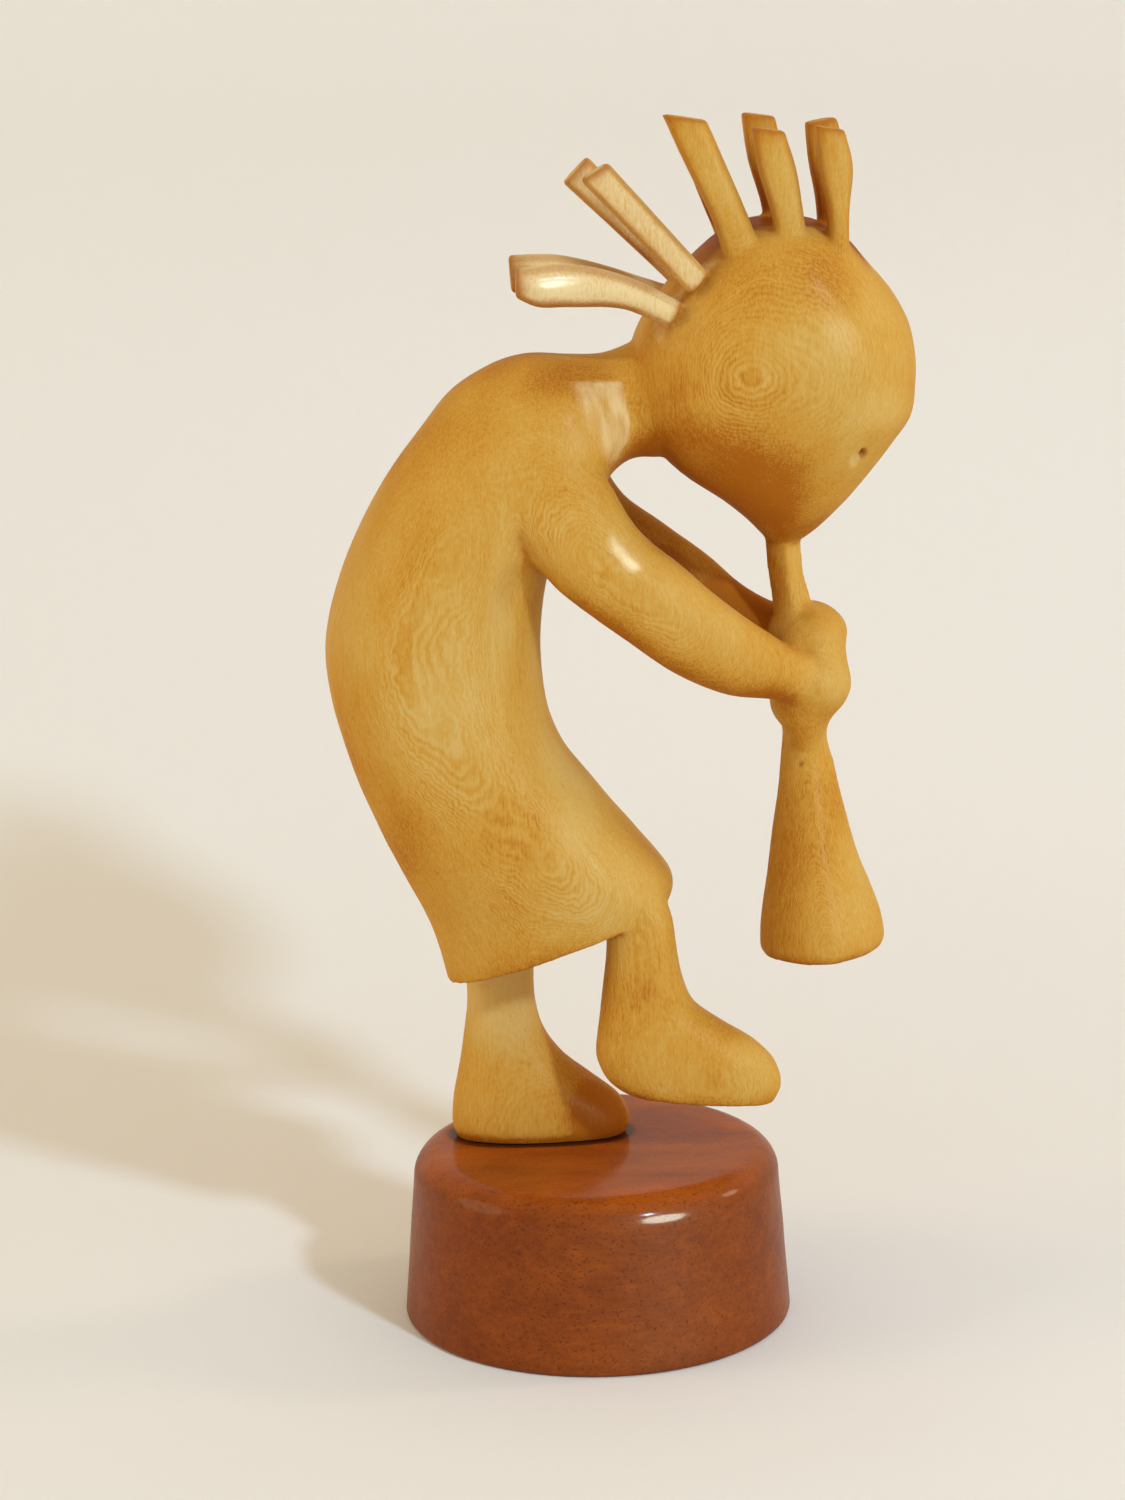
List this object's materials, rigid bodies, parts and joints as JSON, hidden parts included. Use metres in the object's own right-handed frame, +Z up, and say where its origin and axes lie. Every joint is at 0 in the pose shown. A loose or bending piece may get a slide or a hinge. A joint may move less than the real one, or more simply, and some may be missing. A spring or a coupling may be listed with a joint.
{
  "type": "wooden kokopelli figure",
  "caption": "Small carved wooden flute player in a plain robe, with upright hair quills, standing on one foot on a turned wooden disc.",
  "frame": {"origin": "centre of the disc's underside", "axes": "+Z up, +X the way the figure faces, +Y the figure's left"},
  "size_m": [0.0894, 0.06, 0.1865],
  "materials": {
    "pale_wood": "honey-coloured close-grained wood under satin varnish",
    "dark_wood": "red-brown wood under gloss varnish"
  },
  "bodies": {
    "root": {"figure": "pale_wood", "base": "dark_wood"}
  },
  "joints": []
}
